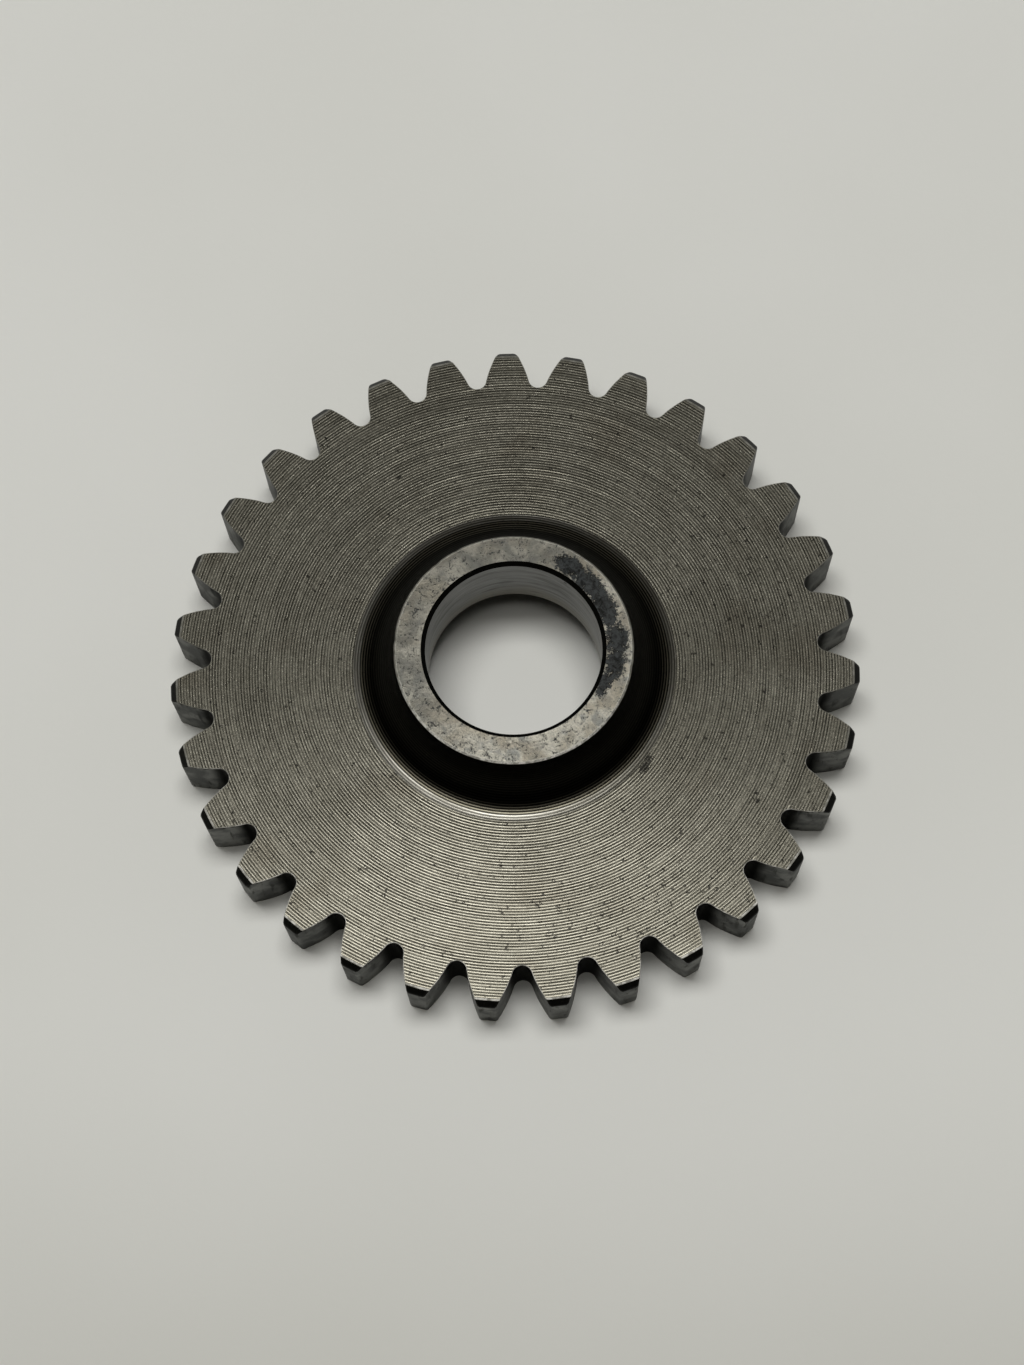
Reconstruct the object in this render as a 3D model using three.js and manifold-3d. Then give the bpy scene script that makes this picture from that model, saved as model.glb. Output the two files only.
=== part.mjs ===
// Spur gear with a one-sided hub, machined from one forging.
// Millimetres, +Z up. The origin is on the bore axis, in the plane of the underside.

import * as THREE from "three";
import { mergeVertices } from "three/addons/utils/BufferGeometryUtils.js";
import Module from "manifold-3d";

// ---- toothing: module 2, 20 degree pressure angle, positive profile shift ----
const TEETH = 31;
const MODULE = 2;
const PRESSURE_ANGLE = THREE.MathUtils.degToRad(20);
const PROFILE_SHIFT = 0.6;
const TIP_DIAMETER = 67.4;
const ROOT_DIAMETER = 59.4;
const ROOT_FILLET = 0.95;
const TIP_CHAMFER = 0.64;
const FACE_WIDTH = 7.4;

// ---- hub, bore and underside ----
const HUB_DIAMETER = 23;
const HUB_RISE = 5.2;
const HUB_EDGE = 0.15;
const HUB_FILLET = 4.25;
const BORE_DIAMETER = 17;
const BORE_CHAMFER = 0.4;
const RECESS_DIAMETER = 27;
const RECESS_DEPTH = 4;
const RECESS_FILLET = 1.2;
const RECESS_CHAMFER = 0.4;

// ---- fineness of the facets ----
const TURNED_FACETS = 4 * TEETH;
const FILLET_STEPS = 6;
const FLANK_STEPS = 4;
const ROOT_STEPS = 4;

const baseRadius = ((MODULE * TEETH) / 2) * Math.cos(PRESSURE_ANGLE);
const tipRadius = TIP_DIAMETER / 2;
const rootRadius = ROOT_DIAMETER / 2;
const hubRadius = HUB_DIAMETER / 2;
const boreRadius = BORE_DIAMETER / 2;
const recessRadius = RECESS_DIAMETER / 2;
const height = FACE_WIDTH + HUB_RISE;

const polar = (radius, angle) =>
  new THREE.Vector2(radius * Math.cos(angle), radius * Math.sin(angle));

// Half of the angle that a tooth takes up at a given radius, from the involute of its base circle.
function toothHalfAngle(radius) {
  const involute = (angle) => Math.tan(angle) - angle;
  const pitchHalfAngle =
    (Math.PI / 2 + 2 * PROFILE_SHIFT * Math.tan(PRESSURE_ANGLE)) / TEETH;
  const slope = Math.acos(baseRadius / radius);
  return pitchHalfAngle + involute(PRESSURE_ANGLE) - involute(slope);
}

// One side of a tooth, from the middle of the gap up to the tip: root circle, fillet arc, involute.
// The fillet touches the root circle and the involute, whose normals are tangents of the base circle.
function toothSide() {
  const centreRadius = rootRadius + ROOT_FILLET;
  const centreAngle = toothHalfAngle(centreRadius) + ROOT_FILLET / baseRadius;
  const centre = polar(centreRadius, centreAngle);
  const slope = Math.acos(baseRadius / centreRadius);
  const touchRadius = Math.hypot(baseRadius, baseRadius * Math.tan(slope) - ROOT_FILLET);
  const points = [polar(rootRadius, Math.PI / TEETH)];
  for (let i = 0; i <= ROOT_STEPS; i++) {
    const turn = (Math.PI / 2 - slope) * (i / ROOT_STEPS) + Math.PI;
    points.push(centre.clone().add(polar(ROOT_FILLET, centreAngle + turn)));
  }
  for (let i = 1; i <= FLANK_STEPS; i++) {
    const radius = THREE.MathUtils.lerp(touchRadius, tipRadius, i / FLANK_STEPS);
    points.push(polar(radius, toothHalfAngle(radius)));
  }
  return points;
}

// The whole toothed outline, counterclockwise. The first tooth is centred on +X.
function toothedOutline() {
  const upper = toothSide();
  const lower = upper.map((p) => new THREE.Vector2(p.x, -p.y));
  const tooth = [...lower, polar(tipRadius, 0), ...upper.reverse()];
  const outline = [];
  for (let i = 0; i < TEETH; i++) {
    const angle = (i / TEETH) * 2 * Math.PI;
    const origin = new THREE.Vector2(0, 0);
    const turned = tooth.map((p) => p.clone().rotateAround(origin, angle));
    outline.push(...turned.slice(0, -1));
  }
  return new THREE.Shape(outline);
}

// A quarter arc between two turned surfaces, in the (radius, height) plane.
function arc(centreRadius, centreHeight, radius, startDegrees, endDegrees) {
  const points = [];
  for (let i = 0; i <= FILLET_STEPS; i++) {
    const degrees = THREE.MathUtils.lerp(startDegrees, endDegrees, i / FILLET_STEPS);
    const offset = polar(radius, THREE.MathUtils.degToRad(degrees));
    points.push(new THREE.Vector2(centreRadius + offset.x, centreHeight + offset.y));
  }
  return points;
}

// The turned blank: recess, bore, hub, fillet, flat web face and chamfered rim.
function turnedBlank() {
  const blankRadius = tipRadius + TIP_CHAMFER;
  const filletRadius = hubRadius + HUB_FILLET;
  const profile = [
    new THREE.Vector2(blankRadius, 0),
    new THREE.Vector2(blankRadius, FACE_WIDTH - 2 * TIP_CHAMFER),
    new THREE.Vector2(tipRadius - TIP_CHAMFER, FACE_WIDTH),
    ...arc(filletRadius, FACE_WIDTH + HUB_FILLET, HUB_FILLET, 270, 180),
    new THREE.Vector2(hubRadius, height - HUB_EDGE),
    new THREE.Vector2(hubRadius - HUB_EDGE, height),
    new THREE.Vector2(boreRadius + BORE_CHAMFER, height),
    new THREE.Vector2(boreRadius, height - BORE_CHAMFER),
    new THREE.Vector2(boreRadius, RECESS_DEPTH + BORE_CHAMFER),
    new THREE.Vector2(boreRadius + BORE_CHAMFER, RECESS_DEPTH),
    ...arc(recessRadius - RECESS_FILLET, RECESS_DEPTH - RECESS_FILLET, RECESS_FILLET, 90, 0),
    new THREE.Vector2(recessRadius, RECESS_CHAMFER),
    new THREE.Vector2(recessRadius + RECESS_CHAMFER, 0),
    new THREE.Vector2(blankRadius, 0),
  ];
  const lathe = new THREE.LatheGeometry(profile, TURNED_FACETS);
  lathe.rotateX(Math.PI / 2);
  lathe.rotateZ(Math.PI / TURNED_FACETS);
  return lathe;
}

const wasm = await Module();
wasm.setup();

function toSolid(geometry) {
  const bare = geometry.clone();
  bare.deleteAttribute("normal");
  bare.deleteAttribute("uv");
  const merged = mergeVertices(bare, 1e-4);
  return new wasm.Manifold(
    new wasm.Mesh({
      numProp: 3,
      vertProperties: new Float32Array(merged.attributes.position.array),
      triVerts: new Uint32Array(merged.index.array),
    }),
  );
}

function toGeometry(solid) {
  const mesh = solid.getMesh();
  const geometry = new THREE.BufferGeometry();
  geometry.setAttribute("position", new THREE.BufferAttribute(mesh.vertProperties, 3));
  geometry.setIndex(new THREE.BufferAttribute(mesh.triVerts, 1));
  geometry.computeVertexNormals();
  return geometry;
}

// The hobbed teeth are cut through the turned blank: what both share is the gear.
function gear() {
  const teeth = new THREE.ExtrudeGeometry(toothedOutline(), {
    depth: height,
    bevelEnabled: false,
  });
  const solid = toSolid(teeth).intersect(toSolid(turnedBlank()));
  const steel = new THREE.MeshStandardMaterial({
    color: 0x77746b,
    roughness: 0.42,
    metalness: 1,
  });
  const mesh = new THREE.Mesh(toGeometry(solid), steel);
  mesh.name = "spur_gear";
  return mesh;
}

const group = new THREE.Group();
group.add(gear());

export default group;
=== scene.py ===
# A steel spur gear lying on a pale table: one piece of metal, with the marks of its turning.
# Lengths named here are millimetres unless a comment says otherwise. MM turns them into metres.

import math
from collections import namedtuple

import bpy
import numpy as np
from mathutils import Matrix, Quaternion, Vector


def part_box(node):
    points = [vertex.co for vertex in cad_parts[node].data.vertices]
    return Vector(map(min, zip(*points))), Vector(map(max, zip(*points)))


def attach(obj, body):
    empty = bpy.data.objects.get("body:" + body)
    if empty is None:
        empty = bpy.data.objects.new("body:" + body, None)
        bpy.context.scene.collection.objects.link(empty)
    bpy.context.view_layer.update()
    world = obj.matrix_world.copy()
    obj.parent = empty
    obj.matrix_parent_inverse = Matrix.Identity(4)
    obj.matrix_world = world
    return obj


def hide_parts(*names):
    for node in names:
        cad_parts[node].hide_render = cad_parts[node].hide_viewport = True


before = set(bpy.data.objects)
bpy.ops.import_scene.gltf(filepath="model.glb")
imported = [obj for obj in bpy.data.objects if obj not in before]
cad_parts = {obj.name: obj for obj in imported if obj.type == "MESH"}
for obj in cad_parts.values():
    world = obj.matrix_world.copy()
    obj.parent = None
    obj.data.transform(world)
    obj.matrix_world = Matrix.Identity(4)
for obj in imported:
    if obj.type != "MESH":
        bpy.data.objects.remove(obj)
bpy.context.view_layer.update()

MM = 0.001
low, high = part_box("spur_gear")

# ---- the gear's driving dimensions ----
TEETH = 31
MODULE = 2.0
PRESSURE_ANGLE = math.radians(20)
PROFILE_SHIFT = 0.6
TIP = high.x / MM
HEIGHT = high.z / MM
ROOT = 29.7
ROOT_FILLET = 0.95
TIP_CHAMFER = 0.64
FACE = 7.4
HUB = 11.5
HUB_EDGE = 0.15
HUB_FILLET = 4.25
BORE = 8.5
BORE_CHAMFER = 0.4
RECESS = 13.5
RECESS_DEPTH = 4.0
RECESS_FILLET = 1.2
RECESS_CHAMFER = 0.4

# ---- marks left by the tools ----
# The real web has a line every 0.225. They are drawn further apart, because a render loses them.
# A SPREAD or a WOBBLE is a share of the grooves' depth. WAVES are counted once round the gear.
FEED = 0.28
GROOVE_DEPTH = 0.015
GROOVE_SPREAD = 0.3
WEB_WOBBLE = 0.25
WEB_WAVES = (5, 11, 23, 47)
FILLET_FEED = 0.27
FILLET_GROOVE_DEPTH = 0.007
FILLET_SPREAD = 0.4
FILLET_WOBBLE = 0.3
FILLET_WAVES = (3, 7, 19)
GRAIN = 0.0008
HUB_FACE_WAVE = 0.002
FLANK_WAVE = 0.0015
EDGE_BREAK = 0.07
CORNER_BREAK = 0.08
RIM_BURR = 0.05

# ---- dents round the hub's outer edge ----
# Depths and widths are ranges. The widths are in columns of the mesh, and the last two are shares.
NICKS = 11
NICK_DEPTH = (0.02, 0.09)
NICK_COLUMNS = (0.7, 1.8)
NICK_ON_FACE = 0.3
NICK_ON_WALL = 0.6

# ---- fineness of the mesh ----
COLUMNS = 9
AROUND = TEETH * COLUMNS
HUB_FACE_ROWS = 9
HUB_WALL_ROW = 0.35
ROOT_ROWS = 6
ROOT_RISE = 0.175
CHAMFER_ROW = 0.35
UNDERSIDE_ROWS = 12
CORNER_STEPS = 8
RECESS_ROWS = 5
BORE_ROWS = 5
LIP_GAP = 0.05
ROW_GAP = 0.02
TINY = 1e-6
SHARP = math.radians(33)

# ---- worked out from the above ----
BASE = MODULE * TEETH / 2 * math.cos(PRESSURE_ANGLE)
RIM = TIP - TIP_CHAMFER
LIP = HUB + HUB_FILLET
FOOT = ROOT - EDGE_BREAK
SECTOR = 2 * math.pi / TEETH
FILLET_CRESTS = round(HUB_FILLET * math.pi / 2 / FILLET_FEED)
FINISHES = ("turned", "fillet", "faced", "bored", "chamfer", "hobbed", "edge", "underside", "recess")

rng = np.random.default_rng(TEETH)


# ---------------------------------------------------------------- the outline of a tooth

def half_angle(radius):
    """Half of the angle that a tooth takes up at a radius, from the involute of its base circle."""
    def involute(angle):
        return math.tan(angle) - angle

    pitch_half = (math.pi / 2 + 2 * PROFILE_SHIFT * math.tan(PRESSURE_ANGLE)) / TEETH
    return pitch_half + involute(PRESSURE_ANGLE) - involute(math.acos(BASE / radius))


ARC_CENTRE = ROOT + ROOT_FILLET
ARC_ANGLE = half_angle(ARC_CENTRE) + ROOT_FILLET / BASE


def side(radius, inset):
    """Angle from a tooth's middle to its left side, and the way that side faces, at a radius.

    The outline is moved into the steel by inset: the involute turns back, and the root arc grows.
    """
    arc = ROOT_FILLET + inset
    touch = math.hypot(BASE, math.sqrt(ARC_CENTRE**2 - BASE**2) - arc)
    if radius > touch:
        angle = half_angle(radius) - inset / BASE
        return angle, angle - math.acos(BASE / radius) + math.pi / 2
    reach = (radius**2 + ARC_CENTRE**2 - arc**2) / (2 * radius * ARC_CENTRE)
    angle = ARC_ANGLE - math.acos(min(reach, 1.0))
    point = radius * np.array([math.cos(angle), math.sin(angle)])
    centre = ARC_CENTRE * np.array([math.cos(ARC_ANGLE), math.sin(ARC_ANGLE)])
    outward = centre - point
    return angle, math.atan2(outward[1], outward[0])


# ---------------------------------------------------------------- one closed skin

class Skin:
    """A closed surface gathered as rows of points, with quads from each row to the next.

    Rows run counterclockwise, and each is nearer the rim than the one before on the top side. So the
    faces point out all the way round: over the hub, down the rim, under the web and up the bore.
    """

    def __init__(self):
        self.points = []
        self.row_of = []
        self.crests = []
        self.quads = []
        self.finish = []
        self.count = 0

    def row(self, points, crest=False):
        first = self.count
        self.count += len(points)
        self.points.append(points)
        self.row_of.append(np.full(len(points), len(self.crests)))
        self.crests.append(crest)
        return np.arange(first, self.count)

    def strip(self, near, far, finish, closed=True):
        if closed:
            near = np.append(near, near[0])
            far = np.append(far, far[0])
        self.quads.append(np.stack([near[:-1], far[:-1], far[1:], near[1:]], 1))
        self.finish.append(np.broadcast_to(np.asarray(finish), len(near) - 1))

    def mesh(self, name):
        points = np.concatenate(self.points)
        box = np.array([low, high]) / MM
        points = np.clip(points, box[0], box[1])
        mesh = bpy.data.meshes.new(name)
        mesh.from_pydata((points * MM).tolist(), [], np.concatenate(self.quads).tolist())
        mesh.polygons.foreach_set("material_index", np.concatenate(self.finish))
        mesh.shade_smooth()
        mesh.set_sharp_from_angle(angle=SHARP)
        self.mark_crests(mesh)
        return mesh, points

    def mark_crests(self, mesh):
        """The ridge between two turned grooves is a sharp line, though its sides are nearly level."""
        ends = np.zeros(len(mesh.edges) * 2, int)
        mesh.edges.foreach_get("vertices", ends)
        rows = np.concatenate(self.row_of)[ends.reshape(-1, 2)]
        on_crest = (rows[:, 0] == rows[:, 1]) & np.array(self.crests)[rows[:, 0]]
        sharp = mesh.attributes.get("sharp_edge") or mesh.attributes.new("sharp_edge", "BOOLEAN", "EDGE")
        marked = np.zeros(len(mesh.edges), bool)
        sharp.data.foreach_get("value", marked)
        sharp.data.foreach_set("value", marked | on_crest)


def ring(radius, height):
    """Points all the way round; radius and height are numbers or one value for each column."""
    angle = (np.arange(AROUND) / COLUMNS - 0.5) * SECTOR
    points = np.zeros((AROUND, 3))
    points[:, 0] = radius * np.cos(angle)
    points[:, 1] = radius * np.sin(angle)
    points[:, 2] = height
    return points


def wobble(waves):
    """A smooth seeded curve round the gear, between about -1 and 1: one value for each column."""
    angle = np.linspace(0, 2 * math.pi, AROUND, endpoint=False)
    total = np.zeros(AROUND)
    for wave in waves:
        total += np.sin(wave * angle + rng.uniform(0, 2 * math.pi)) / len(waves)
    return total


# Each groove is cut a little deeper or shallower than the last.
groove_scale = 1 + GROOVE_SPREAD * rng.uniform(-1, 1, int(TIP / FEED) + 2)


def groove(radius):
    """How far the turned face lies below its crests at a radius, and whether a crest runs there."""
    turns = (RIM - radius) / FEED
    place = turns - math.floor(turns)
    depth = GROOVE_DEPTH * (1 - abs(2 * place - 1)) * groove_scale[int(max(turns, 0))]
    return depth, min(place, 1 - place) < TINY


def top_height(radius):
    """Height of the top side at a radius, over the web, the teeth and the chamfer at their tips.

    The second value says whether a crest between two grooves runs there.
    """
    if radius > RIM + TINY:
        return FACE - (radius - RIM), False
    depth, crest = groove(radius)
    return FACE - depth, crest


def half_turns(inner, outer):
    """Radii of the crests and groove bottoms that lie between two radii, from the inside out."""
    radii = [RIM - k * FEED / 2 for k in range(int(2 * TIP / FEED))]
    return sorted(radius for radius in radii if inner < radius < outer)


# ---------------------------------------------------------------- the gear, row by row

def hub_rows(skin):
    """Bore edge, end face, outer edge, wall and fillet of the hub. Returns the first and last row."""
    kind = FINISHES.index
    first = skin.row(ring(BORE + BORE_CHAMFER, HEIGHT))
    last = first
    for radius in np.linspace(BORE + BORE_CHAMFER, HUB - HUB_EDGE, HUB_FACE_ROWS)[1:-1]:
        face = HEIGHT - HUB_FACE_WAVE * rng.uniform(0, 1, AROUND)
        row = skin.row(ring(radius, face))
        skin.strip(last, row, kind("faced"))
        last = row
    bite = nicks()
    edge_rows = (
        (HUB - HUB_EDGE - bite, HEIGHT - NICK_ON_FACE * bite, "faced"),
        (HUB - NICK_ON_WALL * bite, HEIGHT - HUB_EDGE - bite, "edge"),
        (HUB, HEIGHT - HUB_EDGE - HUB_WALL_ROW, "fillet"),
    )
    for radius, height, finish in edge_rows:
        row = skin.row(ring(radius, height))
        skin.strip(last, row, kind(finish))
        last = row
    for step in range(2 * FILLET_CRESTS + 1):
        turn = math.pi / 2 * (1 - step / (2 * FILLET_CRESTS))
        crest = step % 2 == 0
        cut = 0 if crest else FILLET_GROOVE_DEPTH * (1 + FILLET_SPREAD * rng.uniform(-1, 1))
        reach = HUB_FILLET + cut * (1 + FILLET_WOBBLE * wobble(FILLET_WAVES))
        radius = LIP - reach * math.sin(turn)
        height = FACE + HUB_FILLET - reach * math.cos(turn)
        row = skin.row(ring(np.maximum(radius, HUB), height), crest)
        skin.strip(last, row, kind("fillet"))
        last = row
    return first, last


def nicks():
    """Depth of the small dents round the hub's outer edge, one value for each column."""
    bite = np.zeros(AROUND)
    for _ in range(NICKS):
        column = np.arange(AROUND) - rng.integers(AROUND)
        column = (column + AROUND // 2) % AROUND - AROUND // 2
        width = rng.uniform(*NICK_COLUMNS)
        bite = np.maximum(bite, rng.uniform(*NICK_DEPTH) * np.exp(-((column / width) ** 2)))
    return bite


def web_rows(skin, last):
    """The turned face from the fillet out to the root circle: a row on each crest and in each groove."""
    for radius in [*half_turns(LIP + LIP_GAP, FOOT - ROW_GAP), FOOT]:
        height, crest = top_height(radius)
        depth = (FACE - height) * (1 + WEB_WOBBLE * wobble(WEB_WAVES))
        face = FACE - depth - GRAIN * rng.uniform(0, 1, AROUND)
        row = skin.row(ring(radius, face), crest)
        skin.strip(last, row, FINISHES.index("turned"))
        last = row
    return last


def tooth_radii():
    """Radii of the rows across a tooth, from just above the root arc's foot to the tip."""
    arc = ROOT_FILLET + EDGE_BREAK
    turn = math.acos(1 - ROOT_RISE / arc) / ROOT_ROWS
    radii = [FOOT + arc * (1 - math.cos(turn * (k + 1))) for k in range(ROOT_ROWS)]
    radii += half_turns(FOOT + ROOT_RISE + ROW_GAP, TIP)
    radii += [RIM + RIM_BURR, RIM + CHAMFER_ROW, TIP - EDGE_BREAK - CORNER_BREAK, TIP - EDGE_BREAK]
    return radii


def tooth_finish(radius):
    """The finish of the strip that ends at a radius, on the top side of a tooth."""
    if radius < RIM - TINY:
        return "turned"
    return "edge" if radius < RIM + RIM_BURR + TINY else "chamfer"


def tooth_row(radius, at_tip, height):
    """One row of points across every tooth, and the way its end points face."""
    angle, outward = side(radius, EDGE_BREAK)
    if at_tip:
        angle -= CORNER_BREAK / radius
        outward = angle
    across = np.linspace(-angle, angle, COLUMNS + 1)
    middles = SECTOR * np.arange(TEETH)[:, None]
    points = np.zeros((TEETH, COLUMNS + 1, 3))
    points[..., 0] = radius * np.cos(middles + across)
    points[..., 1] = radius * np.sin(middles + across)
    points[..., 2] = height
    return points, outward


def tooth_rows(skin, root_row, top):
    """The flat side of all teeth, from the row at their roots out. Returns the loop round its edge."""
    radii = tooth_radii()
    rows = []
    roots = np.append(root_row, root_row[0])
    near = np.stack([roots[s * COLUMNS:(s + 1) * COLUMNS + 1] for s in range(TEETH)])
    for place, radius in enumerate(radii):
        height, crest = top_height(radius) if top else (0.0, False)
        points, outward = tooth_row(radius, place == len(radii) - 1, height)
        if top:
            points[..., 2] -= GRAIN * rng.uniform(0, 1, points.shape[:2])
        far = skin.row(points.reshape(-1, 3), crest and top).reshape(TEETH, COLUMNS + 1)
        finish = FINISHES.index(tooth_finish(radius) if top else "underside")
        for tooth in range(TEETH):
            pair = (near[tooth], far[tooth]) if top else (far[tooth], near[tooth])
            skin.strip(*pair, finish, closed=False)
        rows.append((far, outward))
        near = far
    return edge_loop(root_row, rows)


def edge_loop(root_row, rows):
    """The numbers of the points round the toothed outline, and the direction that each one faces."""
    numbers = []
    facing = []
    for tooth in range(TEETH):
        middle = SECTOR * tooth
        numbers.append(root_row[tooth * COLUMNS])
        facing.append(middle - SECTOR / 2)
        for row, outward in rows:
            numbers.append(row[tooth, 0])
            facing.append(middle - outward)
        last = rows[-1][0][tooth]
        tip_angle = rows[-1][1]
        for column in range(1, COLUMNS):
            numbers.append(last[column])
            facing.append(middle + tip_angle * (2 * column / COLUMNS - 1))
        for row, outward in reversed(rows):
            numbers.append(row[tooth, COLUMNS])
            facing.append(middle + outward)
    return np.array(numbers), np.array(facing)


def wall_rows(skin, top_loop, bottom_loop):
    """Flanks, tip lands and root arcs, between the broken edges of the top side and the underside."""
    kind = FINISHES.index
    numbers, facing = top_loop
    points = np.concatenate(skin.points)[numbers]
    outward = np.stack([np.cos(facing), np.sin(facing)], 1)
    outline = points[:, :2] + EDGE_BREAK * outward
    rim_drop = np.maximum(np.hypot(outline[:, 0], outline[:, 1]) - RIM, 0)
    edge = skin.row(np.column_stack([outline, FACE - rim_drop - EDGE_BREAK]))
    on_tip = (rim_drop > 0) & (np.roll(rim_drop, -1) > 0)
    skin.strip(numbers, edge, np.where(on_tip, kind("chamfer"), kind("edge")))
    wave = FLANK_WAVE * rng.uniform(0, 1, len(outline))[:, None]
    middle = skin.row(np.column_stack([outline - wave * outward, np.full(len(outline), FACE / 2)]))
    skin.strip(edge, middle, kind("hobbed"))
    foot = skin.row(np.column_stack([outline, np.full(len(outline), EDGE_BREAK)]))
    skin.strip(middle, foot, kind("hobbed"))
    skin.strip(foot, bottom_loop[0], kind("edge"))


def underside_rows(skin, first, last):
    """The flat underside from the root circle in, the recess, and the bore up to the hub's end face."""
    flat = np.linspace(ROOT, RECESS + RECESS_CHAMFER, UNDERSIDE_ROWS)[1:]
    rows = [(radius, 0.0, "underside") for radius in flat]
    rows.append((RECESS, RECESS_CHAMFER, "chamfer"))
    corner = RECESS - RECESS_FILLET
    for step in range(CORNER_STEPS + 1):
        turn = math.pi / 2 * step / CORNER_STEPS
        radius = corner + RECESS_FILLET * math.cos(turn)
        height = RECESS_DEPTH - RECESS_FILLET * (1 - math.sin(turn))
        rows.append((radius, height, "recess"))
    for radius in np.linspace(corner, BORE + BORE_CHAMFER, RECESS_ROWS)[1:]:
        rows.append((radius, RECESS_DEPTH, "recess"))
    rows.append((BORE, RECESS_DEPTH + BORE_CHAMFER, "chamfer"))
    for height in np.linspace(RECESS_DEPTH + BORE_CHAMFER, HEIGHT - BORE_CHAMFER, BORE_ROWS)[1:]:
        rows.append((BORE, height, "bored"))
    for radius, height, finish in rows:
        row = skin.row(ring(radius, height))
        skin.strip(last, row, FINISHES.index(finish))
        last = row
    skin.strip(last, first, FINISHES.index("chamfer"))


def gear_mesh():
    skin = Skin()
    first, last = hub_rows(skin)
    root_top = web_rows(skin, last)
    top_loop = tooth_rows(skin, root_top, top=True)
    root_under = skin.row(ring(FOOT, 0.0))
    bottom_loop = tooth_rows(skin, root_under, top=False)
    wall_rows(skin, top_loop, bottom_loop)
    underside_rows(skin, first, root_under)
    return skin.mesh("spur_gear_skin")


# ---------------------------------------------------------------- marks painted on the mesh

def patch(points, angle, radius, along, across):
    """1 in the middle of an oval patch that lies along a circle, falling to 0 at its edge."""
    turn = np.arctan2(points[:, 1], points[:, 0]) - math.radians(angle)
    turn = (turn + math.pi) % (2 * math.pi) - math.pi
    reach = np.hypot(points[:, 0], points[:, 1])
    away = (turn * radius / along) ** 2 + ((reach - radius) / across) ** 2
    return np.clip(1 - away, 0, 1)


def paint(mesh, name, points, patches, above):
    """A number at each point: how deep it lies in the nearest of some patches."""
    depth = np.zeros(len(points))
    for angle, radius, along, across in patches:
        depth = np.maximum(depth, patch(points, angle, radius, along, across))
    depth[points[:, 2] < above] = 0
    layer = mesh.attributes.new(name, "FLOAT", "POINT")
    layer.data.foreach_set("value", depth.astype(np.float32))


# Patches as (angle in degrees, radius, half length along the circle, half width across it).
STAINS = (
    (58, 9.95, 2.1, 1.25),
    (42, 9.75, 2.9, 1.3),
    (26, 9.6, 2.6, 1.35),
    (6, 9.95, 2.2, 1.35),
    (-8, 9.8, 2.3, 1.1),
    (-21, 9.4, 1.7, 0.75),
)
SMUDGES = (
    (-38, 16.3, 1.0, 0.55),
    (-34.5, 16.15, 0.6, 0.5),
    (122, 23, 0.45, 0.3),
)
WORN = (
    (-58, 28, 11, 5),
    (-76, 26, 9, 4),
    (24, 24, 9, 6),
)
DULLED = (
    (182, 10.2, 11, 5),
    (110, 10.2, 9, 5),
    (75, 10.2, 6, 4),
)


# ---------------------------------------------------------------- materials

Place = namedtuple("Place", "where radius across height")


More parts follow.
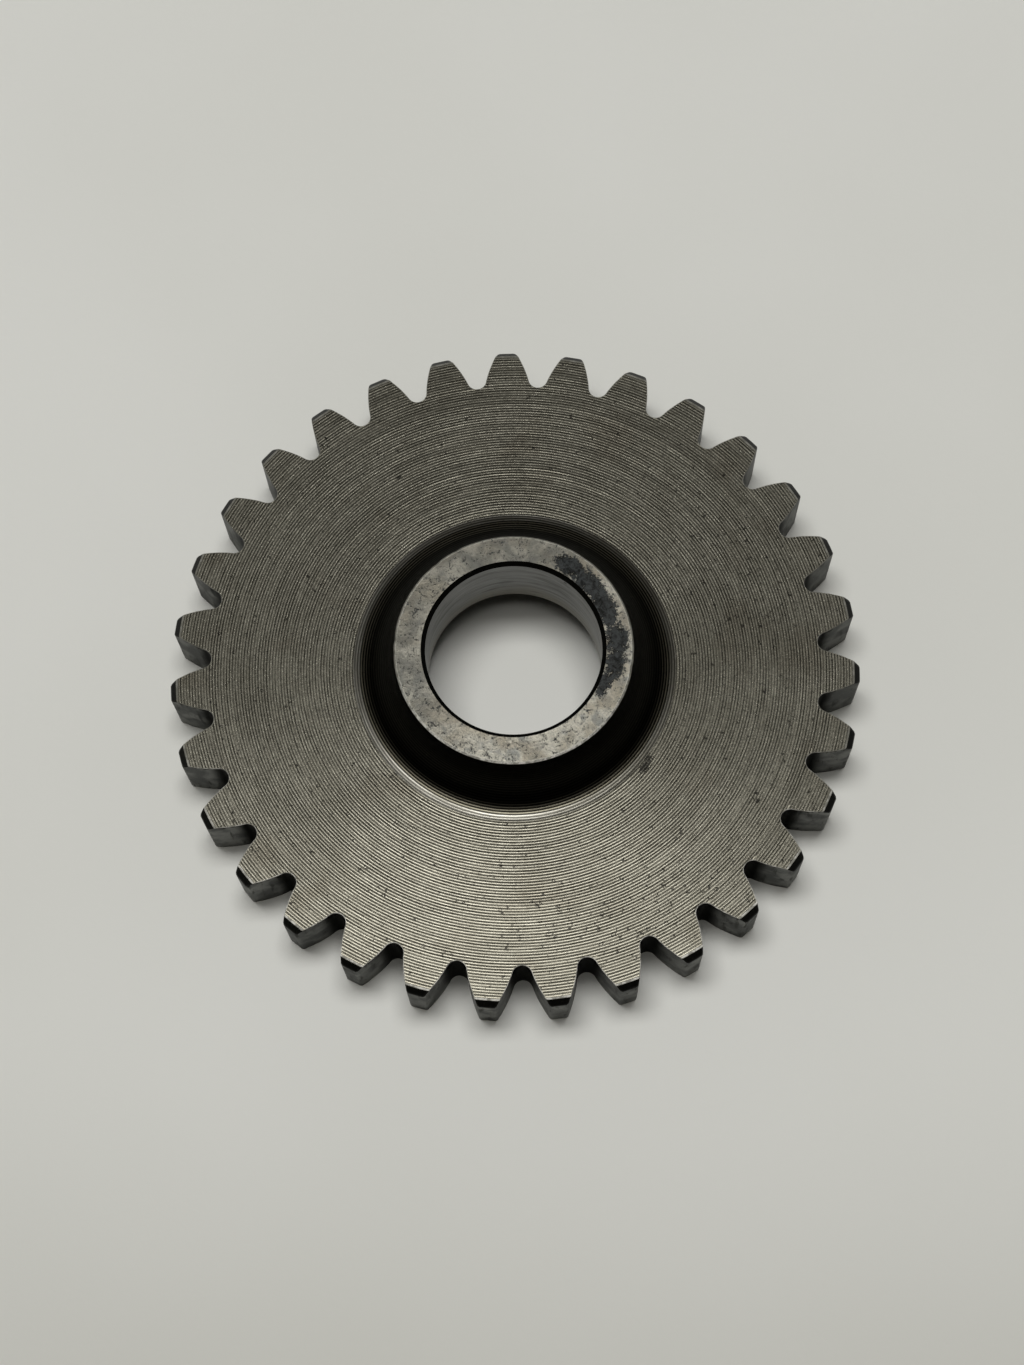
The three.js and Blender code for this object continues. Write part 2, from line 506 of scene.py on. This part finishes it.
class Nodes:
    """A material's node tree, with a short call for each kind of node used here."""

    def __init__(self, name):
        self.material = bpy.data.materials.new(name)
        self.material.use_nodes = True
        self.tree = self.material.node_tree
        self.shader = self.tree.nodes["Principled BSDF"]

    def node(self, kind, inputs, **settings):
        node = self.tree.nodes.new(kind)
        for key, value in settings.items():
            setattr(node, key, value)
        for key, value in inputs.items():
            self.put(node.inputs[key], value)
        return node

    def put(self, socket, value):
        if isinstance(value, bpy.types.NodeSocket):
            self.tree.links.new(value, socket)
        else:
            socket.default_value = value

    def math(self, operation, *values, clamp=False):
        inputs = dict(enumerate(values))
        return self.node("ShaderNodeMath", inputs, operation=operation, use_clamp=clamp).outputs[0]

    def plus(self, first, second):
        return self.math("ADD", first, second)

    def minus(self, first, second):
        return self.math("SUBTRACT", first, second)

    def times(self, first, second):
        return self.math("MULTIPLY", first, second)

    def over(self, first, second):
        return self.math("DIVIDE", first, second)

    def vector_math(self, operation, first, second):
        return self.node("ShaderNodeVectorMath", {0: first, 1: second}, operation=operation).outputs[0]

    def ramp(self, value, start, end, low=0.0, high=1.0):
        """Turns value smoothly from low to high as it passes from start to end."""
        inputs = {"Value": value, "From Min": start, "From Max": end, "To Min": low, "To Max": high}
        node = self.node("ShaderNodeMapRange", inputs, interpolation_type="SMOOTHSTEP")
        return node.outputs[0]

    def wedge(self, turns):
        """0 at each whole turn, rising evenly to 1 half way to the next."""
        swing = self.minus(self.times(self.math("FRACT", turns), 2.0), 1.0)
        return self.minus(1.0, self.math("ABSOLUTE", swing))

    def mix(self, share, first, second):
        node = self.tree.nodes.new("ShaderNodeMix")
        node.data_type = "RGBA"
        self.put(node.inputs["Factor"], share)
        self.put(node.inputs[6], first)
        self.put(node.inputs[7], second)
        return node.outputs[2]

    def noise(self, vector, scale, detail=2.0, rough=0.5, twist=0.0):
        inputs = {
            "Vector": vector, "Scale": scale, "Detail": detail, "Roughness": rough, "Distortion": twist,
        }
        return self.node("ShaderNodeTexNoise", inputs).outputs[0]

    def cells(self, vector, scale):
        inputs = {"Vector": vector, "Scale": scale}
        return self.node("ShaderNodeTexVoronoi", inputs).outputs["Distance"]

    def shaken(self, vector, scale):
        """Coordinates pushed about by noise, which makes round cells ragged."""
        noise = self.node("ShaderNodeTexNoise", {"Vector": vector, "Scale": scale, "Detail": 2.0})
        return self.vector_math("ADD", vector, noise.outputs["Color"])

    def join(self, x, y, z):
        return self.node("ShaderNodeCombineXYZ", {0: x, 1: y, 2: z}).outputs[0]

    def split(self, vector):
        return self.node("ShaderNodeSeparateXYZ", {0: vector}).outputs

    def place(self):
        """Position in millimetres, distance from the axis, direction away from it, and height."""
        where = self.node("ShaderNodeTexCoord", {}).outputs["Object"]
        scaled = self.node("ShaderNodeVectorMath", {0: where, 3: 1 / MM}, operation="SCALE").outputs[0]
        x, y, z = self.split(scaled)
        radius = self.math("SQRT", self.plus(self.times(x, x), self.times(y, y)))
        return Place(scaled, radius, (self.over(x, radius), self.over(y, radius)), z)

    def streaks(self, across, grooves, length, width):
        """Coordinates in which round noise becomes streaks along the turning.

        grooves is the coordinate that grows from one groove to the next. length and width are one
        step of the noise in millimetres, the length as it is at twice the hub's radius.
        """
        around = [self.times(part, HUB * 2 / length) for part in across]
        return self.join(*around, self.times(grooves, 1 / width))

    def painted(self, name):
        return self.node("ShaderNodeAttribute", {}, attribute_name=name).outputs["Fac"]

    def bump(self, height, depth):
        """depth is how many millimetres a height of 1 stands up."""
        return self.node("ShaderNodeBump", {"Height": height, "Distance": depth * MM}).outputs[0]

    def finish(self, colour, roughness, normal, metal=1.0, glance=1.0):
        """glance scales the shine seen at a shallow angle, which grime and fine scale take away."""
        self.put(self.shader.inputs["Base Color"], colour)
        self.put(self.shader.inputs["Roughness"], roughness)
        self.put(self.shader.inputs["Normal"], normal)
        self.shader.inputs["Metallic"].default_value = metal
        self.shader.inputs["Specular Tint"].default_value = (glance, glance, glance, 1)
        return self.material


def turned_steel(name, bright, dull, lines, roughness):
    """A turned face: short streaks along its grooves, dirt and painted shade in them, faint patches,
    specks and pits.

    lines is how dark the dirt and painted shade in the groove valleys are, from 0 to 1. Smudges and a
    worn part are painted on the web's mesh.
    """
    brown = (0.30, 0.255, 0.19, 1)
    valley_dirt_and_shade = (0.03, 0.028, 0.02, 1)
    soot = (0.035, 0.033, 0.03, 1)
    n = Nodes(name)
    at = n.place()
    dashes = n.noise(n.streaks(at.across, at.radius, 1.4, 0.12), 1.0, 2.0, 0.6)
    long_dashes = n.noise(n.streaks(at.across, at.radius, 5.0, 0.25), 1.0, 2.0, 0.5)
    grain = n.noise(at.where, 4.0, 3.0, 0.7)
    dull_patches = n.noise(at.where, 0.09, 3.0, 0.55, 0.6)
    brown_patches = n.noise(at.where, 0.16, 2.0, 0.5, 0.4)

    tone = n.plus(n.times(dashes, 0.45), n.times(long_dashes, 0.15))
    tone = n.plus(tone, n.times(grain, 0.4))
    colour = n.mix(n.ramp(tone, 0.32, 0.68), dull, bright)
    colour = n.mix(n.ramp(dull_patches, 0.42, 0.68, 0.0, 0.45), colour, dull)
    colour = n.mix(n.ramp(brown_patches, 0.52, 0.75, 0.0, 0.35), colour, brown)

    # Dirt plus painted shade in each groove valley: dark lines that stand in for the reflections that
    # draw the turning lines all round.
    valley = n.wedge(n.over(n.minus(RIM, at.radius), FEED))
    valley_darkening = n.times(n.ramp(valley, 0.25, 0.75), n.ramp(long_dashes, 0.3, 0.6, 0.6, 1.0))
    colour = n.mix(n.times(valley_darkening, lines), colour, valley_dirt_and_shade)

    crowding = n.plus(n.noise(at.where, 0.9), n.times(n.painted("worn"), 0.16))
    speck_size = n.ramp(crowding, 0.42, 0.68, 0.0, 0.25)
    specks = n.math("LESS_THAN", n.cells(n.shaken(at.where, 4.0), 1.5), speck_size)
    smudge = n.painted("smudge")
    ragged = n.plus(smudge, n.times(n.minus(grain, 0.5), 3.0))
    smudged = n.times(n.ramp(ragged, 0.35, 0.65), n.ramp(smudge, 0.0, 0.25))
    dark = n.math("MAXIMUM", specks, smudged, clamp=True)
    colour = n.mix(n.times(dark, 0.85), colour, soot)

    rough = n.plus(roughness, n.times(grain, 0.12))
    relief = n.minus(n.plus(n.times(dashes, 0.7), grain), dark)
    return n.finish(colour, rough, n.bump(relief, 0.003), metal=0.88)


def fillet_steel():
    """The turned fillet: bright steel at its lip, darkened on its +X side by painted shade, and
    near-black inside, a painted dark reflection of the room, with dirt and painted shade in its groove
    valleys.
    """
    bright = (0.9, 0.88, 0.8, 1)
    dull = (0.5, 0.48, 0.42, 1)
    dim = (0.24, 0.225, 0.18, 1)
    tarnish = (0.45, 0.42, 0.33, 1)
    painted_dark_reflection = (0.017, 0.016, 0.013, 1)
    valley_dirt_and_shade = (0.004, 0.004, 0.003, 1)
    n = Nodes("fillet_steel")
    at = n.place()
    dashes = n.noise(n.streaks(at.across, n.plus(at.radius, at.height), 9.0, 0.12), 1.0, 2.0, 0.6)
    grain = n.noise(at.where, 5.0, 3.0, 0.6)
    ragged = n.plus(at.radius, n.times(n.minus(dashes, 0.5), 0.3))

    steel = n.mix(n.ramp(dashes, 0.35, 0.65), dull, bright)
    # Painted shade: the lip darkens on its +X side, away from where the light falls.
    steel = n.mix(n.ramp(at.across[0], -0.1, 0.7, 0.0, 0.6), steel, dim)
    # Painted dark reflection: near-black inside the fillet, standing for the dark room the steel
    # mirrors, fading to tarnish towards the lip.
    painted_dark_inside = n.mix(n.ramp(ragged, LIP - 1.85, LIP - 0.45), painted_dark_reflection, tarnish)
    colour = n.mix(n.ramp(ragged, LIP - 0.8, LIP - 0.55), painted_dark_inside, steel)

    # Dirt plus painted shade in the fillet's groove valleys, which draws its turning lines.
    turn = n.math("ARCSINE", n.over(n.minus(LIP, at.radius), HUB_FILLET))
    valley = n.wedge(n.times(turn, FILLET_CRESTS / (math.pi / 2)))
    valley_darkening = n.times(n.ramp(valley, 0.1, 0.6), n.ramp(at.radius, LIP - 0.75, LIP - 0.45, 0.95, 0.75))
    colour = n.mix(valley_darkening, colour, valley_dirt_and_shade)
    rough = n.plus(0.24, n.times(grain, 0.1))
    return n.finish(colour, rough, n.bump(grain, 0.001))


def faced_steel():
    """The hub's end face: rubbed smooth, mottled, with bluish wear and a baked dark stain."""
    warm = (0.92, 0.885, 0.775, 1)
    cool = (0.40, 0.42, 0.42, 1)
    tan = (0.56, 0.49, 0.37, 1)
    grey = (0.30, 0.29, 0.25, 1)
    dark_grey = (0.20, 0.195, 0.17, 1)
    dark_tone = (0.27, 0.265, 0.235, 1)
    rubbed = (0.9, 0.88, 0.8, 1)
    pit = (0.05, 0.05, 0.045, 1)
    black = (0.006, 0.007, 0.008, 1)
    ash = (0.10, 0.108, 0.112, 1)
    n = Nodes("faced_steel")
    at = n.place()
    mottle = n.noise(at.where, 1.5, 5.0, 0.7, 0.6)
    grain = n.noise(at.where, 6.0, 4.0, 0.75)
    clouds = n.noise(at.where, 0.5, 4.0, 0.6, 0.8)
    wide = n.noise(at.where, 0.28, 2.0, 0.5, 0.5)

    colour = n.mix(n.ramp(clouds, 0.46, 0.66, 0.0, 0.8), warm, cool)
    colour = n.mix(n.ramp(wide, 0.45, 0.62, 0.0, 0.6), colour, tan)
    colour = n.mix(n.ramp(mottle, 0.42, 0.66, 0.0, 0.55), colour, grey)
    colour = n.mix(n.ramp(grain, 0.42, 0.7, 0.0, 0.4), colour, dark_grey)
    dulled = n.times(n.painted("dulled"), n.ramp(clouds, 0.35, 0.55, 0.5, 1.0))
    colour = n.mix(n.times(dulled, 0.75), colour, dark_tone)
    rim = n.plus(n.ramp(at.radius, HUB - 0.35, HUB - 0.1), n.ramp(mottle, 0.35, 0.6, -0.6, 0.1))
    colour = n.mix(n.math("MAXIMUM", rim, 0.0, clamp=True), colour, rubbed)

    pits = n.math("LESS_THAN", n.cells(at.where, 0.9), n.ramp(mottle, 0.5, 0.75, 0.0, 0.24))
    colour = n.mix(n.times(pits, 0.8), colour, pit)
    ragged = n.plus(n.minus(mottle, 0.5), n.minus(grain, 0.5))
    stain = n.ramp(n.plus(n.painted("stain"), n.times(ragged, 2.1)), 0.22, 0.4)
    baked = n.mix(n.ramp(mottle, 0.36, 0.62), black, ash)
    colour = n.mix(n.times(stain, 0.98), colour, baked)

    rough = n.plus(n.ramp(mottle, 0.3, 0.7, 0.3, 0.42), n.times(stain, 0.12))
    relief = n.plus(n.times(mottle, 0.9), n.times(grain, 0.6))
    relief = n.minus(relief, n.times(pits, 0.6))
    relief = n.plus(relief, n.times(stain, 0.5))
    return n.finish(colour, rough, n.bump(relief, 0.03), metal=0.82)


def bored_steel():
    """The ground bore: fine rings, dark smears along them, a browner lower part and black specks."""
    dull = (0.12, 0.121, 0.117, 1)
    bright = (0.2, 0.202, 0.196, 1)
    brown = (0.15, 0.135, 0.1, 1)
    smeared = (0.05, 0.05, 0.045, 1)
    black = (0.01, 0.01, 0.01, 1)
    n = Nodes("bored_steel")
    at = n.place()
    rings = n.noise(n.streaks(at.across, at.height, 12.0, 0.12), 1.0, 2.0, 0.6)
    smears = n.noise(n.streaks(at.across, at.height, 16.0, 0.7), 1.0, 3.0, 0.6)
    clouds = n.noise(at.where, 0.35, 3.0, 0.55)
    low_part = n.ramp(n.plus(at.height, n.times(clouds, 3.0)), 9.2, 6.2)
    colour = n.mix(n.ramp(rings, 0.35, 0.65), dull, bright)
    colour = n.mix(n.times(low_part, 0.6), colour, brown)
    colour = n.mix(n.ramp(smears, 0.5, 0.66, 0.0, 0.75), colour, smeared)
    specks = n.math("LESS_THAN", n.cells(at.where, 0.42), n.ramp(clouds, 0.5, 0.6, 0.0, 0.09))
    colour = n.mix(specks, colour, black)
    rough = n.plus(0.3, n.times(clouds, 0.15))
    return n.finish(colour, rough, n.bump(rings, 0.002))


def chamfer_steel():
    """Chamfers: painted near-black, a painted dark reflection of the room, with lighter rubbed patches.
    """
    dark_tone = (0.008, 0.008, 0.007, 1)
    rubbed = (0.04, 0.038, 0.033, 1)
    n = Nodes("chamfer_steel")
    rub = n.noise(n.place().where, 2.2, 3.0, 0.6)
    # Painted dark reflection: the chamfers stay near-black whatever lights them.
    colour = n.mix(n.ramp(rub, 0.6, 0.8, 0.0, 0.5), dark_tone, rubbed)
    rough = n.plus(0.32, n.times(rub, 0.12))
    return n.finish(colour, rough, n.bump(rub, 0.004))


def hobbed_steel():
    """Flanks and tip lands: grey steel with dark smears; painted shade turns the root arcs black, and a
    ragged dark band under the top edge is smudge and painted shadow of the burr.
    """
    pale = (0.27, 0.272, 0.26, 1)
    dull = (0.14, 0.142, 0.138, 1)
    smeared = (0.06, 0.06, 0.055, 1)
    dark_tone = (0.012, 0.012, 0.01, 1)
    black = (0.006, 0.006, 0.005, 1)
    n = Nodes("hobbed_steel")
    at = n.place()
    clouds = n.noise(at.where, 0.5, 3.0, 0.6, 0.3)
    smear = n.noise(n.vector_math("MULTIPLY", at.where, (1.6, 1.6, 0.35)), 1.0, 3.0, 0.6)
    grain = n.noise(at.where, 5.0, 3.0, 0.6)
    # Painted shade: black down in the root arcs between the teeth.
    root = n.ramp(at.radius, ROOT + 0.5, ROOT + 1.8, 1.0, 0.0)
    # A ragged dark band under the top edge: smudge, and painted shadow under the burr.
    top_smudge_and_shadow = n.ramp(n.plus(at.height, n.times(smear, 3.0)), 8.5, 8.8, 0.0, 0.85)
    colour = n.mix(n.ramp(clouds, 0.38, 0.6), pale, dull)
    colour = n.mix(n.ramp(smear, 0.55, 0.66, 0.0, 0.8), colour, smeared)
    colour = n.mix(top_smudge_and_shadow, colour, dark_tone)
    colour = n.mix(n.times(root, 0.95), colour, black)
    rough = n.plus(0.3, n.times(grain, 0.15))
    relief = n.plus(smear, n.times(grain, 0.2))
    return n.finish(colour, rough, n.bump(relief, 0.01), glance=0.4)


def edge_steel():
    """The thin line of the broken edges: pale burrs, rubbed brighter in places, painted pale as a
    painted highlight along every edge, with painted shade darkening them on the +Y half.
    """
    dull = (0.4, 0.39, 0.35, 1)
    bright = (0.95, 0.93, 0.87, 1)
    dim = (0.14, 0.135, 0.11, 1)
    n = Nodes("edge_steel")
    at = n.place()
    rub = n.noise(at.where, 1.6, 3.0, 0.6)
    colour = n.mix(n.ramp(rub, 0.4, 0.6), dull, bright)
    # Painted shade: the edges darken on the +Y half, where the light catches them less.
    colour = n.mix(n.ramp(at.across[1], -0.8, -0.1, 0.0, 0.8), colour, dim)
    rough = n.plus(0.5, n.times(rub, 0.15))
    return n.finish(colour, rough, n.bump(rub, 0.02), metal=0.5)


def web_steel():
    bright = (0.83, 0.80, 0.675, 1)
    dull = (0.41, 0.39, 0.32, 1)
    return turned_steel("turned_steel", bright, dull, lines=0.92, roughness=0.21)


def underside_steel():
    bright = (0.50, 0.48, 0.42, 1)
    dull = (0.30, 0.285, 0.24, 1)
    return turned_steel("underside_steel", bright, dull, lines=0.35, roughness=0.36)


def recess_steel():
    # Painted shade: the recess is near-black, deepening the shadow under the gear that shows through the
    # bore.
    bright = (0.12, 0.115, 0.1, 1)
    dull = (0.06, 0.057, 0.05, 1)
    return turned_steel("recess_steel", bright, dull, lines=0.35, roughness=0.36)


def steel_finishes():
    return {
        "turned": web_steel(),
        "fillet": fillet_steel(),
        "faced": faced_steel(),
        "bored": bored_steel(),
        "chamfer": chamfer_steel(),
        "hobbed": hobbed_steel(),
        "edge": edge_steel(),
        "underside": underside_steel(),
        "recess": recess_steel(),
    }


def make_gear():
    mesh, points = gear_mesh()
    hub_face = HEIGHT - 0.5
    web_face = FACE - 0.2
    paint(mesh, "stain", points, STAINS, hub_face)
    paint(mesh, "dulled", points, DULLED, hub_face)
    paint(mesh, "smudge", points, SMUDGES, web_face)
    paint(mesh, "worn", points, WORN, web_face)
    finishes = steel_finishes()
    for name in FINISHES:
        mesh.materials.append(finishes[name])
    gear = bpy.data.objects.new("spur_gear_visual", mesh)
    bpy.context.scene.collection.objects.link(gear)
    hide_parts("spur_gear")
    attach(gear, "root")


# ---------------------------------------------------------------- table, light and camera
# Lengths from here on are metres, except in the table's material, where place() gives millimetres.

# The photograph's camera stands on the -Y side, turned a little about the gear's axis.
TURN = Matrix.Rotation(math.radians(4.3087), 4, "Z")

TABLE_RADII = (0.05, 0.15, 0.55)
TABLE_SIDES = 96
TABLE_DROP = 0.02 * MM
COVE_RADIUS = 0.75
COVE_STEPS = 24

CAMERA_REACH = 0.24297
CAMERA_ELEVATION = math.radians(71.731)
CAMERA_ROLL = math.radians(-3.1518)
CAMERA_AIM = Vector((-0.0003235, -0.0017625, FACE * MM))
LENS_MM = 65.65
SENSOR_MM = 36
NEAREST_SEEN = 0.01


def table_material():
    """Off-white paint, slightly cloudy, with painted shade that greys it further from the gear, out onto
    the backdrop, and darkens it towards the camera.
    """
    cream = (0.70, 0.70, 0.665, 1)
    white = (0.73, 0.73, 0.70, 1)
    grey = (0.6, 0.6, 0.58, 1)
    shade = (0.36, 0.35, 0.30, 1)
    n = Nodes("painted_table")
    at = n.place()
    clouds = n.noise(at.where, 0.012, 3.0)
    grain = n.noise(at.where, 1.5)
    colour = n.mix(n.ramp(clouds, 0.35, 0.65), cream, white)
    # Painted shade: greyer with distance from the gear, where the light falls off.
    colour = n.mix(n.ramp(at.radius, 250, 900), colour, grey)
    # Painted shade towards the camera.
    colour = n.mix(n.ramp(n.split(at.where)[1], -30, -85, 0.0, 0.4), colour, shade)
    rough = n.plus(0.5, n.times(clouds, 0.1))
    return n.finish(colour, rough, n.bump(grain, 0.01), metal=0.0)


def make_table():
    """A flat table top whose far edge sweeps up into a backdrop, all the way round."""
    profile = [(radius, 0.0) for radius in TABLE_RADII]
    for step in range(1, COVE_STEPS + 1):
        turn = math.pi / 2 * step / COVE_STEPS
        rise = COVE_RADIUS * (1 - math.cos(turn))
        profile.append((TABLE_RADII[-1] + COVE_RADIUS * math.sin(turn), rise))
    points = []
    for radius, height in profile:
        for k in range(TABLE_SIDES):
            turn = 2 * math.pi * k / TABLE_SIDES
            points.append((radius * math.cos(turn), radius * math.sin(turn), height - TABLE_DROP))
    faces = [tuple(range(TABLE_SIDES))]
    for row in range(len(profile) - 1):
        for k in range(TABLE_SIDES):
            near = row * TABLE_SIDES + k
            beside = row * TABLE_SIDES + (k + 1) % TABLE_SIDES
            faces.append((near, near + TABLE_SIDES, beside + TABLE_SIDES, beside))
    mesh = bpy.data.meshes.new("table")
    mesh.from_pydata(points, [], faces)
    mesh.shade_smooth()
    mesh.materials.append(table_material())
    table = bpy.data.objects.new("table", mesh)
    bpy.context.scene.collection.objects.link(table)


def make_panel(name, place, size, power, tint, seen_in_steel=True):
    """A soft rectangular light that faces straight down. power is in watts."""
    light = bpy.data.lights.new(name, "AREA")
    light.shape = "RECTANGLE"
    light.size, light.size_y = size
    light.energy = power
    light.color = tint
    panel = bpy.data.objects.new(name, light)
    panel.matrix_world = TURN @ Matrix.Translation(place)
    panel.visible_glossy = seen_in_steel
    bpy.context.scene.collection.objects.link(panel)


def make_room(tint, strength):
    """The dim, even light of the rest of the room."""
    world = bpy.data.worlds.new("room")
    world.use_nodes = True
    background = world.node_tree.nodes["Background"]
    background.inputs["Color"].default_value = tint
    background.inputs["Strength"].default_value = strength
    bpy.context.scene.world = world


def make_lights():
    """A panel that the steel mirrors, a wider one that it doesn't, and the light of the room."""
    make_panel(
        "ceiling_panel", place=(-0.045, -0.03, 0.8), size=(0.41, 0.275), power=0.93,
        tint=(1.0, 0.985, 0.94),
    )
    make_panel(
        "soft_fill", place=(-0.1, 0.3, 1.6), size=(1.0, 0.4), power=17.0,
        tint=(1.0, 1.0, 0.985), seen_in_steel=False,
    )
    make_room(tint=(1.0, 0.98, 0.86, 1), strength=0.033)


def make_camera():
    """Nearly overhead, at the reach of a hand-held telephone."""
    above_face = Vector((0, 0, FACE * MM))
    lean = Vector((0, -math.cos(CAMERA_ELEVATION), math.sin(CAMERA_ELEVATION)))
    stand = above_face + CAMERA_REACH * lean
    facing = (CAMERA_AIM - stand).to_track_quat("-Z", "Y") @ Quaternion((0, 0, 1), CAMERA_ROLL)
    lens = bpy.data.cameras.new("camera")
    lens.lens = LENS_MM
    lens.sensor_width = SENSOR_MM
    lens.sensor_fit = "AUTO"
    lens.clip_start = NEAREST_SEEN
    camera = bpy.data.objects.new("camera", lens)
    camera.matrix_world = TURN @ Matrix.Translation(stand) @ facing.to_matrix().to_4x4()
    bpy.context.scene.collection.objects.link(camera)
    bpy.context.scene.camera = camera


make_camera()
make_lights()
make_table()
make_gear()
bpy.context.scene.view_settings.view_transform = "Standard"
